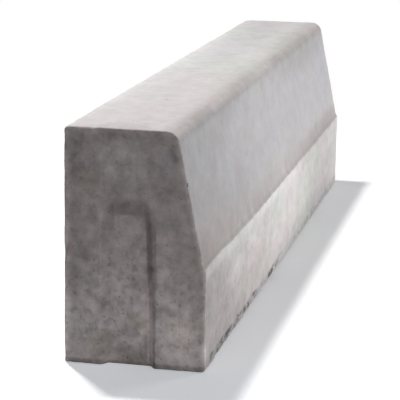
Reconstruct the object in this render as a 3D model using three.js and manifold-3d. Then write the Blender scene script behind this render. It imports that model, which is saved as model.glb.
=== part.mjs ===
// A precast concrete kerb stone, 150 x 250 x 1000 mm, cast as one piece.
//
// Its front has an upright base that stays below the road's surface, a small sloping step above it, and a
// battered face up to the rounded top arris. Each end has a tapered key recess that is open at the bottom,
// which mortar fills when two kerbs are laid end to end.
//
// Millimetres. X is the width, with the front at +X. Y is the length. Z is up. The origin is in the middle of
// the bottom face.
import * as THREE from "three";
import { mergeVertices } from "three/addons/utils/BufferGeometryUtils.js";
import Module from "manifold-3d";

// Driving dimensions of the cast body.
const KERB_LENGTH = 1000;
const BASE_WIDTH = 150;
const TOP_WIDTH = 118; // back face to batter, where the two planes meet under the rounding
const KERB_HEIGHT = 250;
const BASE_FACE_HEIGHT = 105; // upright front below the step
const STEP_RISE = 6;
const STEP_SET_BACK = 3; // foot of the batter behind the base's front

// Arris roundings.
const TOP_FRONT_RADIUS = 15;
const TOP_BACK_RADIUS = 4;
const STEP_RADIUS = 3;
const BATTER_FOOT_RADIUS = 10; // hollow curve where the batter runs out onto the step
const BOTTOM_RADIUS = 3;
const END_ARRIS = 2; // rounding round both ends

// Key recess in each end.
const RECESS_DEPTH = 10;
const RECESS_TO_BACK = 68; // middle of the recess from the back face
const RECESS_MOUTH_WIDTH = 58;
const RECESS_MOUTH_HEIGHT = 175;
const RECESS_MOUTH_RADIUS = 20;
const RECESS_FLOOR_WIDTH = 33; // at its top
const RECESS_FLOOR_FOOT_WIDTH = 45;
const RECESS_FLOOR_HEIGHT = 156;
const RECESS_FLOOR_RADIUS = 12;

// How finely the round stretches are divided, and how far a cutter runs past what it cuts.
const ARC_SEGMENTS = 8;
const END_ARRIS_SEGMENTS = 2;
const CUT_PAST = 5;

const concrete = new THREE.MeshStandardMaterial({
  name: "cast_concrete",
  color: 0xc4c0be,
  roughness: 0.92,
  metalness: 0,
});

const wasm = await Module();
wasm.setup();

// A closed outline through the corners, each of them { at: Vector2, radius }, rounded by an arc that touches
// both of its sides.
function roundedOutline(corners) {
  const outline = new THREE.Shape();
  corners.forEach(({ at, radius }, i) => {
    const before = corners.at(i - 1).at;
    const after = corners[(i + 1) % corners.length].at;
    const back = before.clone().sub(at).normalize();
    const onward = after.clone().sub(at).normalize();
    const halfAngle = Math.acos(back.dot(onward)) / 2;
    const toTangent = radius / Math.tan(halfAngle);
    const toCentre = radius / Math.sin(halfAngle);
    const bisector = back.clone().add(onward).normalize();
    const centre = at.clone().addScaledVector(bisector, toCentre);
    const start = at.clone().addScaledVector(back, toTangent).sub(centre);
    const end = at.clone().addScaledVector(onward, toTangent).sub(centre);
    const clockwise = back.cross(onward) > 0;
    outline.absarc(centre.x, centre.y, radius, start.angle(), end.angle(), clockwise);
  });
  outline.closePath();
  return outline;
}

// The kerb's cross-section, with its x as X and its y as Z.
function kerbSection() {
  const back = -BASE_WIDTH / 2;
  const front = BASE_WIDTH / 2;
  return roundedOutline([
    { at: new THREE.Vector2(back, 0), radius: BOTTOM_RADIUS },
    { at: new THREE.Vector2(front, 0), radius: BOTTOM_RADIUS },
    { at: new THREE.Vector2(front, BASE_FACE_HEIGHT), radius: STEP_RADIUS },
    {
      at: new THREE.Vector2(front - STEP_SET_BACK, BASE_FACE_HEIGHT + STEP_RISE),
      radius: BATTER_FOOT_RADIUS,
    },
    { at: new THREE.Vector2(back + TOP_WIDTH, KERB_HEIGHT), radius: TOP_FRONT_RADIUS },
    { at: new THREE.Vector2(back, KERB_HEIGHT), radius: TOP_BACK_RADIUS },
  ]);
}

// The cast body without its recesses: the section run along Y, with its end arrises rounded.
function kerbBody() {
  const geometry = new THREE.ExtrudeGeometry(kerbSection(), {
    depth: KERB_LENGTH - 2 * END_ARRIS,
    curveSegments: ARC_SEGMENTS,
    bevelEnabled: true,
    bevelThickness: END_ARRIS,
    bevelSize: END_ARRIS,
    bevelOffset: -END_ARRIS,
    bevelSegments: END_ARRIS_SEGMENTS,
  });
  geometry.rotateX(Math.PI / 2);
  geometry.translate(0, KERB_LENGTH / 2 - END_ARRIS, 0);
  return geometry;
}

// The points of an upright arch that stands in the recess's place, from below the kerb's bottom face. Its
// sides lean from footWidth at the bottom face to width at its top, where they run into rounded corners.
function archPoints(width, footWidth, height, radius) {
  const middle = RECESS_TO_BACK - BASE_WIDTH / 2;
  const lean = Math.atan((footWidth - width) / 2 / height);
  const halfFoot = footWidth / 2 + CUT_PAST * Math.tan(lean);
  const toCornerCentre = width / 2 - radius / Math.tan(Math.PI / 4 + lean / 2);
  const spring = height - radius;
  const arch = new THREE.Shape();
  arch.moveTo(middle - halfFoot, -CUT_PAST);
  arch.lineTo(middle + halfFoot, -CUT_PAST);
  arch.absarc(middle + toCornerCentre, spring, radius, lean, Math.PI / 2, false);
  arch.absarc(middle - toCornerCentre, spring, radius, Math.PI / 2, Math.PI - lean, false);
  return arch.getPoints(ARC_SEGMENTS);
}

// A closed solid between two outlines with as many points each, which stand upright at yA and yB.
function loft(outlineA, yA, outlineB, yB) {
  const count = outlineA.length;
  const positions = [
    ...outlineA.flatMap((p) => [p.x, yA, p.y]),
    ...outlineB.flatMap((p) => [p.x, yB, p.y]),
  ];
  const triangles = [];
  for (let i = 0; i < count; i++) {
    const next = (i + 1) % count;
    triangles.push(i, next, count + next, i, count + next, count + i);
  }
  for (const [a, b, c] of THREE.ShapeUtils.triangulateShape(outlineA, [])) {
    triangles.push(c, b, a, count + a, count + b, count + c);
  }
  // Laid from its lower to its higher y, its faces point inwards, so they are turned round.
  if (yB > yA) triangles.reverse();
  const geometry = new THREE.BufferGeometry();
  geometry.setAttribute("position", new THREE.Float32BufferAttribute(positions, 3));
  geometry.setIndex(triangles);
  return geometry;
}

// What is cut out for the recess in the end face that looks along Y's direction: -1 or 1. The taper runs on
// past the end face, so that the mouth has its stated size there.
function recessCutter(direction) {
  const mouth = archPoints(
    RECESS_MOUTH_WIDTH,
    RECESS_MOUTH_WIDTH,
    RECESS_MOUTH_HEIGHT,
    RECESS_MOUTH_RADIUS,
  );
  const floor = archPoints(
    RECESS_FLOOR_WIDTH,
    RECESS_FLOOR_FOOT_WIDTH,
    RECESS_FLOOR_HEIGHT,
    RECESS_FLOOR_RADIUS,
  );
  const outer = mouth.map((p, i) => floor[i].clone().lerp(p, 1 + CUT_PAST / RECESS_DEPTH));
  const endFace = (direction * KERB_LENGTH) / 2;
  return loft(
    floor,
    endFace - direction * RECESS_DEPTH,
    outer,
    endFace + direction * CUT_PAST,
  );
}

// A geometry as a solid for cutting.
function solidFrom(geometry) {
  geometry.deleteAttribute("normal");
  geometry.deleteAttribute("uv");
  const merged = mergeVertices(geometry, 1e-4);
  return new wasm.Manifold(
    new wasm.Mesh({
      numProp: 3,
      vertProperties: merged.attributes.position.array,
      triVerts: new Uint32Array(merged.index.array),
    }),
  );
}

// A solid as a geometry for a mesh.
function geometryFrom(solid) {
  const { vertProperties, triVerts } = solid.getMesh();
  const indexed = new THREE.BufferGeometry();
  indexed.setAttribute("position", new THREE.BufferAttribute(vertProperties, 3));
  indexed.setIndex(new THREE.BufferAttribute(triVerts, 1));
  const geometry = indexed.toNonIndexed();
  geometry.computeVertexNormals();
  return geometry;
}

function kerbStone() {
  const nearRecess = solidFrom(recessCutter(-1));
  const farRecess = solidFrom(recessCutter(1));
  const cast = solidFrom(kerbBody()).subtract(nearRecess).subtract(farRecess);
  const mesh = new THREE.Mesh(geometryFrom(cast), concrete);
  mesh.name = "kerb_stone";
  return mesh;
}

const group = new THREE.Group();
group.add(kerbStone());

export default group;
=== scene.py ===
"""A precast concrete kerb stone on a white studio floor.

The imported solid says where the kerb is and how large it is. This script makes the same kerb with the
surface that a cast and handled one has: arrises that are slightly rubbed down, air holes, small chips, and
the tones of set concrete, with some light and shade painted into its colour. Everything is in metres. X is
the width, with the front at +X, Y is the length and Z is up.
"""

from __future__ import annotations

import logging
import math
from collections.abc import Callable, Sequence
from dataclasses import dataclass
from enum import Enum
from typing import Any

import bmesh
import bpy
import numpy as np
from mathutils import Matrix, Vector
from mathutils.geometry import delaunay_2d_cdt


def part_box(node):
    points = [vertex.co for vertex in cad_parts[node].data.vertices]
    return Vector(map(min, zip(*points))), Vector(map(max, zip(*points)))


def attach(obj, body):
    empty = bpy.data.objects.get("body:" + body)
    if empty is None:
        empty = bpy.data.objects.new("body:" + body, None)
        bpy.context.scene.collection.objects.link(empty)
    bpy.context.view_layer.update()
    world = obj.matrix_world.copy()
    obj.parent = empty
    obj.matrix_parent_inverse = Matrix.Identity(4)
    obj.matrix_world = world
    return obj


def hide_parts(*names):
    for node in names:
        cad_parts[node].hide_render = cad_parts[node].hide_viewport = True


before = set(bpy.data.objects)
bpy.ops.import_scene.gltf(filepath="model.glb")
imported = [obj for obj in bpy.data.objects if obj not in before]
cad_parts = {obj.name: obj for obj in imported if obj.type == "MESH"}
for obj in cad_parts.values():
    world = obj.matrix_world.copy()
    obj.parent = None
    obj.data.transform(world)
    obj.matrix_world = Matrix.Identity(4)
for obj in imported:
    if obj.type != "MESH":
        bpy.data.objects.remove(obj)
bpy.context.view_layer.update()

KERB_NODE = "kerb_stone"

Socket = bpy.types.NodeSocket
Piece = bpy.types.Object
Spot = tuple[float, float, float]
Face = tuple[int, ...]
Colour = tuple[float, float, float, float]
# Where something starts and is full.
Fade = tuple[float, float]
# Where something starts, is full, is no longer full, and ends.
Band = tuple[float, float, float, float]

log = logging.getLogger("kerb")


# Node trees


def math_node(operation: str, swapped: bool = False) -> Callable[..., Signal]:
    """Makes a method of Signal that adds a Math node.

    Args:
        operation: The node's operation.
        swapped: Whether the method's own signal comes second.

    Returns:
        The method, which takes the other value where the operation has one.
    """

    def method(self: Signal, other: Operand = 0.0) -> Signal:
        """Joins this signal with another value."""
        one, two = (other, self) if swapped else (self, other)
        return self.graph.value("ShaderNodeMath", {"Value": one, "Value_001": two}, operation=operation)

    return method


class Signal:
    """A number that comes out of a node. Python's operators join signals with Math nodes."""

    def __init__(self, graph: Graph, socket: Socket) -> None:
        """Wraps an output of one of a graph's nodes."""
        self.graph = graph
        self.socket = socket

    __add__ = __radd__ = math_node("ADD")
    __sub__ = math_node("SUBTRACT")
    __rsub__ = math_node("SUBTRACT", swapped=True)
    __mul__ = __rmul__ = math_node("MULTIPLY")
    __truediv__ = math_node("DIVIDE")
    __pow__ = math_node("POWER")
    __abs__ = math_node("ABSOLUTE")
    most = math_node("MAXIMUM")
    least = math_node("MINIMUM")

    def rise(self, start: float, end: float) -> Signal:
        """A smooth step: 0 where this signal is at start and 1 where it is at end.

        Args:
            start: Where the step starts.
            end: Where it ends, above or below the start.

        Returns:
            The step.
        """
        falls = start > end
        inputs = {
            "Value": self,
            "From Min": min(start, end),
            "From Max": max(start, end),
            "To Min": float(falls),
            "To Max": float(not falls),
        }
        return self.graph.value("ShaderNodeMapRange", inputs, interpolation_type="SMOOTHSTEP")

    def band(self, start: float, full: float, last: float, end: float) -> Signal:
        """A smooth band: 1 from full to last, and 0 up to start and from end on."""
        return self.rise(start, full) * self.rise(end, last)

    def swing(self, size: Operand) -> Signal:
        """This signal, which runs from 0 to 1, as a swing of a given size about 0."""
        return (self - 0.5) * size

    def towards(self, other: Operand, share: Operand) -> Signal:
        """This signal, moved to another by a share of the way."""
        return self + (other - self) * share


Operand = Signal | float


class Graph:
    """A node tree that is built one node at a time."""

    def __init__(self, tree: bpy.types.NodeTree) -> None:
        """Starts on a tree."""
        self.tree = tree

    @classmethod
    def emptied(cls, holder: bpy.types.Material | bpy.types.World) -> Graph:
        """The graph of a material or a world, without the nodes that it comes with.

        Args:
            holder: The material or the world.

        Returns:
            Its empty graph.
        """
        holder.use_nodes = True
        holder.node_tree.nodes.clear()
        return cls(holder.node_tree)

    def node(self, kind: str, inputs: dict[str, Any] | None = None, **settings: Any) -> bpy.types.Node:
        """Adds a node.

        Args:
            kind: The node's type.
            inputs: A value or a link for each input, by the input's identifier.
            settings: The node's own properties, which are set first.

        Returns:
            The node.
        """
        node = self.tree.nodes.new(kind)
        for name, value in settings.items():
            setattr(node, name, value)
        sockets = {socket.identifier: socket for socket in node.inputs}
        for name, value in (inputs or {}).items():
            source = value.socket if isinstance(value, Signal) else value
            if isinstance(source, Socket):
                self.tree.links.new(source, sockets[name])
            else:
                sockets[name].default_value = source
        return node

    def result(self, kind: str, inputs: dict[str, Any] | None = None, **settings: Any) -> Socket:
        """Adds a node, as node does, and gives the first of its outputs that is in use."""
        return next(output for output in self.node(kind, inputs, **settings).outputs if output.enabled)

    def value(self, kind: str, inputs: dict[str, Any] | None = None, **settings: Any) -> Signal:
        """Adds a node, as node does, and gives its result as a signal."""
        return Signal(self, self.result(kind, inputs, **settings))

    def signal(self, node: bpy.types.Node, output: str) -> Signal:
        """One of a node's outputs as a signal."""
        return Signal(self, node.outputs[output])

    def axes(self, vector: Socket) -> tuple[Signal, ...]:
        """The three parts of a vector or a colour."""
        parts = self.node("ShaderNodeSeparateXYZ", {"Vector": vector})
        return tuple(self.signal(parts, axis) for axis in "XYZ")

    def spread(self, place: Socket, factors: Sequence[float], shift: Sequence[float] | Socket) -> Socket:
        """A place with each of its axes multiplied by a factor, and then shifted."""
        inputs = {"Vector": place, "Vector_001": factors, "Vector_002": shift}
        return self.result("ShaderNodeVectorMath", inputs, operation="MULTIPLY_ADD")

    def length(self, vector: Socket) -> Signal:
        """The length of a vector."""
        return self.value("ShaderNodeVectorMath", {"Vector": vector}, operation="LENGTH")

    def noise(self, place: Socket, grain: float, detail: float = 2.0, roughness: float = 0.5) -> Signal:
        """A noise from 0 to 1 whose grain is given in metres, with finer layers of a given roughness."""
        inputs = {"Vector": place, "Scale": 1.0 / grain, "Detail": detail, "Roughness": roughness}
        return self.value("ShaderNodeTexNoise", inputs)


class SocketKind(Enum):
    """The kinds of input that a geometry recipe has."""

    LENGTH = "NodeSocketFloat"
    COUNT = "NodeSocketInt"
    OBJECT = "NodeSocketObject"
    MATERIAL = "NodeSocketMaterial"


class GeometryRecipe:
    """A Geometry Nodes tree with named inputs, which is applied to one piece."""

    def __init__(self, name: str) -> None:
        """Starts an empty recipe.

        Args:
            name: The tree's name.
        """
        self.tree = bpy.data.node_groups.new(name, "GeometryNodeTree")
        self.graph = Graph(self.tree)
        self.values: dict[str, Any] = {}
        for direction in ("INPUT", "OUTPUT"):
            self.tree.interface.new_socket("Geometry", in_out=direction, socket_type="NodeSocketGeometry")
        self.entry = self.graph.node("NodeGroupInput")

    def input(self, name: str, kind: SocketKind, value: Any) -> Socket:
        """Adds a named input.

        Args:
            name: The input's name.
            kind: What it takes.
            value: What it is set to when the recipe is applied.

        Returns:
            The input, to link from.
        """
        socket = self.tree.interface.new_socket(name, in_out="INPUT", socket_type=kind.value)
        self.values[socket.identifier] = value
        return self.entry.outputs[name]

    def number(self, name: str, value: float) -> Signal:
        """Adds a named input for a number, as a signal."""
        return Signal(self.graph, self.input(name, SocketKind.LENGTH, value))

    def form_of(self, name: str, piece: Piece) -> Socket:
        """Adds a named input for an object, and gives that object's geometry."""
        source = {"Object": self.input(name, SocketKind.OBJECT, piece)}
        return self.graph.node("GeometryNodeObjectInfo", source).outputs["Geometry"]

    def apply(self, piece: Piece, result: Socket, material: bpy.types.Material) -> None:
        """Ends the tree and turns its result into the piece's own plain mesh.

        Args:
            piece: The piece that the tree starts from and that gets the result.
            result: The geometry that the tree has made.
            material: The material that the geometry gets.
        """
        realized = self.graph.result("GeometryNodeRealizeInstances", {"Geometry": result})
        dress = {"Geometry": realized, "Material": self.input("Material", SocketKind.MATERIAL, material)}
        dressed = self.graph.result("GeometryNodeSetMaterial", dress)
        self.tree.links.new(dressed, self.graph.node("NodeGroupOutput").inputs[0])
        modifier = piece.modifiers.new(self.tree.name, "NODES")
        modifier.node_group = self.tree
        for identifier, value in self.values.items():
            modifier[identifier] = value
        evaluated = piece.evaluated_get(bpy.context.evaluated_depsgraph_get())
        mesh = bpy.data.meshes.new_from_object(evaluated)
        piece.modifiers.remove(modifier)
        rough = piece.data
        piece.data = mesh
        bpy.data.meshes.remove(rough)


# Outlines and meshes


def spaced(length: float, finest: float, coarsest: float, growth: float) -> np.ndarray:
    """Divides a straight stretch, finely near both of its ends and coarsely in the middle.

    Args:
        length: How long the stretch is.
        finest: The spacing at its ends.
        coarsest: The largest spacing.
        growth: How fast the spacing grows with the distance from an end.

    Returns:
        The distances of the division's inner points from the start.
    """
    fine_steps = 4000
    along = np.linspace(0.0, length, fine_steps)
    spacing = np.minimum(coarsest, finest + growth * np.minimum(along, length - along))
    count = np.concatenate([[0.0], np.cumsum(np.diff(along) / spacing[1:])])
    whole = max(1, round(float(count[-1])))
    return np.interp(np.arange(1, whole) / whole * count[-1], count, along)


def inside(points: np.ndarray, outline: np.ndarray) -> np.ndarray:
    """Tells which points are inside a closed outline.

    Args:
        points: The points, one in each row.
        outline: The outline's points in order.

    Returns:
        True for each point that is inside.
    """
    start = outline
    end = np.roll(outline, -1, axis=0)
    x, y = points[:, :1], points[:, 1:]
    crosses = (start[:, 1] > y) != (end[:, 1] > y)
    rise = np.where(end[:, 1] == start[:, 1], 1.0, end[:, 1] - start[:, 1])
    at = start[:, 0] + (y - start[:, 1]) / rise * (end[:, 0] - start[:, 0])
    return (crosses & (x < at)).sum(axis=1) % 2 == 1


def distance_to(points: np.ndarray, outline: np.ndarray) -> np.ndarray:
    """The distance of each point from a closed outline.

    Args:
        points: The points, one in each row.
        outline: The outline's points in order.

    Returns:
        The distances.
    """
    start = outline[None]
    side = np.roll(outline, -1, axis=0)[None] - start
    offset = points[:, None] - start
    share = np.clip((offset * side).sum(axis=2) / (side * side).sum(axis=2), 0.0, 1.0)
    return np.linalg.norm(offset - share[..., None] * side, axis=2).min(axis=1)


def filled(outline: np.ndarray, spacing: float) -> tuple[np.ndarray, list[list[int]]]:
    """Fills a closed outline with triangles between its own points and a lattice of inner ones.

    Args:
        outline: The outline's points in order.
        spacing: The lattice's spacing.

    Returns:
        All points, with the outline's own first, and the triangles, which run anticlockwise.
    """
    row_spacing = spacing * math.sqrt(3) / 2
    clearance = 0.55 * spacing
    inside_only = 1
    tolerance = 1e-7
    least_area = 1e-9
    low, high = outline.min(axis=0), outline.max(axis=0)
    rows = np.arange(low[1] + row_spacing, high[1], row_spacing)
    starts = [low[0] + spacing / 2 * (i % 2) for i in range(len(rows))]
    runs = [np.arange(start, high[0], spacing) for start in starts]
    lattice = np.array([(x, y) for run, y in zip(runs, rows) for x in run])
    lattice = lattice[inside(lattice, outline)]
    lattice = lattice[distance_to(lattice, outline) > clearance]
    points = np.vstack([outline, lattice])
    edge = [range(len(outline))]
    found = delaunay_2d_cdt([Vector(p) for p in points], [], edge, inside_only, tolerance, True)
    _, _, faces, origins, *_ = found
    triangles = np.array([origin[0] for origin in origins])[np.array(faces)]
    first, second, third = (points[triangles[:, i]] for i in range(3))
    one, other = second - first, third - first
    doubled_area = one[:, 0] * other[:, 1] - one[:, 1] * other[:, 0]
    kept = inside((first + second + third) / 3, outline) & (doubled_area > least_area)
    return points, triangles[kept].tolist()


def new_piece(name: str, points: Sequence, edges: Sequence, faces: Sequence) -> Piece:
    """Makes an object from a list of points, edges and faces.

    Args:
        name: The object's name.
        points: The points' places.
        edges: The edges that no face has, as pairs of points.
        faces: The faces, as rows of points.

    Returns:
        The object, at the origin.
    """
    mesh = bpy.data.meshes.new(name)
    mesh.from_pydata([tuple(p) for p in points], edges, faces)
    mesh.update()
    piece = bpy.data.objects.new(name, mesh)
    bpy.context.collection.objects.link(piece)
    return piece


def skin(rows: int, count: int) -> list[Face]:
    """Joins rows of points into a tube.

    Args:
        rows: How many rows there are, one after another.
        count: How many points each row has, all the way round.

    Returns:
        The faces between them.
    """
    faces = []
    for row in range(rows - 1):
        for i in range(count):
            here, after = row * count + i, row * count + (i + 1) % count
            faces.append((here, here + count, after + count, after))
    return faces


def cap(places: list[Spot], outline: np.ndarray, y: float, first: int, spacing: float) -> list[Face]:
    """Closes a tube's end, and adds the points that it needs there.

    Args:
        places: The tube's points, which get the new ones.
        outline: The x and z of the end's row.
        y: The end's y.
        first: The number of the row's first point.
        spacing: The new points' spacing.

    Returns:
        The faces.
    """
    points, triangles = filled(outline, spacing)
    count = len(outline)
    shift = len(places) - count
    places += [(x, y, z) for x, z in points[count:]]
    return [tuple(first + i if i < count else shift + i for i in triangle) for triangle in triangles]


# The kerb's form


class End(Enum):
    """The kerb's two ends, with the direction along Y that each of them looks in."""

    NEAR = -1
    FAR = 1


@dataclass(frozen=True)
class Corner:
    """A corner of the kerb's section, before it is rounded.

    Attributes:
        place: Its x and z.
        radius: The radius of its rounding.
    """

    place: tuple[float, float]
    radius: float


@dataclass(frozen=True)
class KerbSection:
    """The kerb's section: an upright base, a small step, a battered face and a flat top.

    Attributes:
        width: The base's width.
        height: The whole height.
        top_width: From the back face to where the top and the batter meet under their rounding.
        base_face_height: The height of the base's upright front.
        step_rise: How far the step climbs.
        step_set_back: How far the batter's foot is behind the base's front.
        top_front_radius: The rounding between the top and the batter.
        top_back_radius: The rounding between the top and the back.
        step_radius: The rounding on the step's outer arris.
        batter_foot_radius: The hollow curve at the batter's foot.
        bottom_radius: The rounding of both bottom arrises.
    """

    width: float
    height: float
    top_width: float = 0.118
    base_face_height: float = 0.105
    step_rise: float = 0.006
    step_set_back: float = 0.003
    top_front_radius: float = 0.015
    top_back_radius: float = 0.004
    step_radius: float = 0.003
    batter_foot_radius: float = 0.010
    bottom_radius: float = 0.003

    @property
    def back(self) -> float:
        """The back face's x."""
        return -self.width / 2

    @property
    def front(self) -> float:
        """The x of the base's front."""
        return self.width / 2

    @property
    def foot(self) -> tuple[float, float]:
        """The batter's foot, as an x and a height."""
        return self.front - self.step_set_back, self.base_face_height + self.step_rise

    def front_at(self, z: Signal) -> Signal:
        """The x of the base's front or the batter at a height.

        Args:
            z: The height.

        Returns:
            The x.
        """
        x, step_top = self.foot
        lean = (x - self.back - self.top_width) / (self.height - step_top)
        on_base = z.rise(step_top, self.base_face_height)
        return (z.most(step_top) - step_top) * -lean + on_base * (self.front - x) + x

    def corners(self) -> list[Corner]:
        """Lists the section's corners.

        Returns:
            The corners, anticlockwise from the bottom of the back.
        """
        return [
            Corner((self.back, 0.0), self.bottom_radius),
            Corner((self.front, 0.0), self.bottom_radius),
            Corner((self.front, self.base_face_height), self.step_radius),
            Corner(self.foot, self.batter_foot_radius),
            Corner((self.back + self.top_width, self.height), self.top_front_radius),
            Corner((self.back, self.height), self.top_back_radius),
        ]


@dataclass(frozen=True)
class Outline:
    """A closed outline with the direction that it faces at each point.

    Attributes:
        points: The points, one in each row.
        normals: The outward direction at each point.
        arrises: The middle of each outward rounding.
    """

    points: np.ndarray
    normals: np.ndarray
    arrises: np.ndarray


@dataclass(frozen=True)
class OutlineSpacing:
    """How finely an outline is divided.

    Attributes:
        finest: The spacing next to a rounding.
        coarsest: The largest spacing.
        growth: How fast the spacing grows with the distance from a rounding.
        rounding: The spacing along a rounding.
    """

    finest: float = 0.0012
    coarsest: float = 0.012
    growth: float = 0.22
    rounding: float = 0.0014

    def rounded(self, corners: Sequence[Corner]) -> Outline:
        """Rounds the corners of a closed outline and divides it.

        Args:
            corners: The corners, anticlockwise.

        Returns:
            The outline.
        """
        places = [np.array(corner.place) for corner in corners]
        arcs = []
        for i, corner in enumerate(corners):
            here = places[i]
            back = places[i - 1] - here
            onward = places[(i + 1) % len(corners)] - here
            back = back / np.linalg.norm(back)
            onward = onward / np.linalg.norm(onward)
            half = math.acos(float(back @ onward)) / 2
            middle = (back + onward) / np.linalg.norm(back + onward)
            outward = 1.0 if back[0] * onward[1] - back[1] * onward[0] < 0 else -1.0
            centre = here + middle * corner.radius / math.sin(half)
            turn = math.pi - 2 * half
            count = max(2, round(turn * corner.radius / self.rounding))
            facing = math.atan2(-middle[1], -middle[0])
            angles = facing + outward * np.linspace(-turn / 2, turn / 2, count + 1)
            rays = np.column_stack([np.cos(angles), np.sin(angles)])
            arcs.append((centre + corner.radius * rays, outward * rays, outward > 0))
        points, normals, arrises = [], [], []
        for i, (arc, rays, is_arris) in enumerate(arcs):
            following = arcs[(i + 1) % len(arcs)]
            start, end = arc[-1], following[0][0]
            length = float(np.linalg.norm(end - start))
            along = spaced(length, self.finest, self.coarsest, self.growth)[:, None] / length
            points += [arc, start + along * (end - start)]
            normals += [rays, np.repeat(rays[-1:], len(along), axis=0)]
            if is_arris:
                arrises.append(arc[len(arc) // 2])
        return Outline(np.vstack(points), np.vstack(normals), np.array(arrises))


@dataclass(frozen=True)
class KeyRecess:
    """The tapered recess in each end that mortar fills, open at the bottom.

    Attributes:
        depth: How deep it is.
        middle: The x of its middle.
        mouth_width: Its width at the end face.
        mouth_height: Its height at the end face.
        mouth_radius: The rounding of its upper corners at the end face.
        floor_width: Its width at the top of its floor.
        floor_foot_width: Its width at the bottom of its floor.
        floor_height: Its height at its floor.
        floor_radius: The rounding of its upper corners at its floor.
        cut_past: How far the cutter runs past the end face and the bottom.
        spacing: The spacing of the cutter's points.
    """

    depth: float = 0.010
    middle: float = -0.007
    mouth_width: float = 0.058
    mouth_height: float = 0.175
    mouth_radius: float = 0.020
    floor_width: float = 0.033
    floor_foot_width: float = 0.045
    floor_height: float = 0.156
    floor_radius: float = 0.012
    cut_past: float = 0.005
    spacing: float = 0.003

    def mouth(self) -> np.ndarray:
        """The recess's outline at the end face."""
        return self._arch(self.mouth_width, self.mouth_width, self.mouth_height, self.mouth_radius)

    def floor(self) -> np.ndarray:
        """The recess's outline at its floor."""
        return self._arch(self.floor_width, self.floor_foot_width, self.floor_height, self.floor_radius)

    def _arch(self, width: float, foot_width: float, height: float, radius: float) -> np.ndarray:
        """An upright arch with two rounded corners, from below the bottom, anticlockwise.

        Args:
            width: Its width at its top, where its sides meet it under the rounding.
            foot_width: Its width at the bottom.
            height: The height of its top.
            radius: The rounding of its upper corners.

        Returns:
            The arch's points, as many for every arch.
        """
        across = round(self.mouth_width / self.spacing)
        upright = round(self.mouth_height / self.spacing)
        turn = round(self.mouth_radius * math.pi / 2 / self.spacing)
        lean = math.atan((foot_width - width) / 2 / height)
        half_foot = foot_width / 2 + self.cut_past * math.tan(lean)
        to_centre = width / 2 - radius / math.tan(math.pi / 4 + lean / 2)
        angles = np.linspace(lean, math.pi / 2, turn + 1)
        rays = np.column_stack([np.cos(angles), np.sin(angles)])
        corner = radius * rays + (to_centre, height - radius)
        foot = np.linspace((-half_foot, -self.cut_past), (half_foot, -self.cut_past), across + 1)
        side = np.linspace(foot[-1], corner[0], upright + 1)
        top = np.linspace(corner[-1], corner[-1] * (-1, 1), across // 2 + 1)
        runs = [foot, side, corner, top, corner[::-1] * (-1, 1), side[::-1] * (-1, 1)]
        return np.vstack([run[:-1] for run in runs]) + (self.middle, 0.0)

    def cutter(self, end: End, half_length: float) -> Piece:
        """Makes the closed solid that is cut out of one end.

        Args:
            end: The end.
            half_length: Half of the kerb's length.

        Returns:
            The cutter.
        """
        mouth = self.mouth()
        floor = self.floor()
        rows = round(self.depth / self.spacing) + 1
        depths = np.append(np.linspace(self.depth, 0.0, rows), -self.cut_past)
        places = []
        for depth in depths:
            outline = floor + (mouth - floor) * (1 - depth / self.depth)
            places += [(x, end.value * (half_length - depth), z) for x, z in outline]
        outermost = tuple(range(len(places) - len(floor), len(places)))
        faces = cap(places, floor, end.value * (half_length - self.depth), 0, self.spacing)
        faces += [*skin(len(depths), len(floor)), outermost]
        piece = new_piece(f"recess_cutter_{end.name.lower()}", places, [], faces)
        face_outwards(piece)
        return piece


def face_outwards(piece: Piece) -> None:
    """Turns every face of a closed piece outwards.

    Args:
        piece: The piece.
    """
    shape = bmesh.new()
    shape.from_mesh(piece.data)
    bmesh.ops.recalc_face_normals(shape, faces=shape.faces)
    shape.to_mesh(piece.data)
    shape.free()


# The kerb's surface


@dataclass(frozen=True)
class Hollows:
    """Small hollows spread at random over a surface, each of them cut with a flattened ball.

    Attributes:
        name: What they are.
        gap: The least distance between the middles of two of them.
        density: How many there are for each square metre where they are thickest.
        smallest: Half the length of the smallest one.
        largest: Half the length of the largest one.
        rarity: How rare the large ones are.
        form: A ball's length, width and height, as shares of its length.
        tumbled: Whether the balls lie anyhow. Otherwise they lie flat on the surface.
    """

    name: str
    gap: float
    density: float
    smallest: float
    largest: float
    rarity: float
    form: Spot
    tumbled: bool

    def balls(self, recipe: GeometryRecipe, body: Socket, seed: Socket, share: Signal) -> Socket:
        """Spreads the balls.

        Args:
            recipe: The recipe.
            body: The geometry that they lie on.
            seed: The seed.
            share: How thickly they lie at each place, where 1 is thickest.

        Returns:
            The balls' geometry.
        """
        graph = recipe.graph
        smallest = recipe.number(f"Smallest {self.name}", self.smallest)
        largest = recipe.number(f"Largest {self.name}", self.largest)
        spots = {
            "Mesh": body,
            "Distance Min": recipe.number(f"Gap between {self.name}s", self.gap),
            "Density Max": recipe.number(f"Density of {self.name}s", self.density),
            "Density Factor": share,
            "Seed": seed,
        }
        points = graph.node("GeometryNodeDistributePointsOnFaces", spots, distribute_method="POISSON")
        chance = graph.value("FunctionNodeRandomValue", {"Seed": seed}, data_type="FLOAT")
        size = smallest.towards(largest, chance**self.rarity)
        turn = points.outputs["Rotation"]
        if self.tumbled:
            turns = {"Max": (math.tau,) * 3, "Seed": seed}
            turn = graph.result("FunctionNodeRandomValue", turns, data_type="FLOAT_VECTOR")
        sides = {axis: size * part for axis, part in zip("XYZ", self.form)}
        each = {
            "Points": points.outputs["Points"],
            "Instance": graph.node("GeometryNodeMeshIcoSphere", {"Subdivisions": 2}).outputs["Mesh"],
            "Rotation": turn,
            "Scale": graph.result("ShaderNodeCombineXYZ", sides),
        }
        balls = graph.result("GeometryNodeInstanceOnPoints", each)
        return graph.result("GeometryNodeRealizeInstances", {"Geometry": balls})


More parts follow.
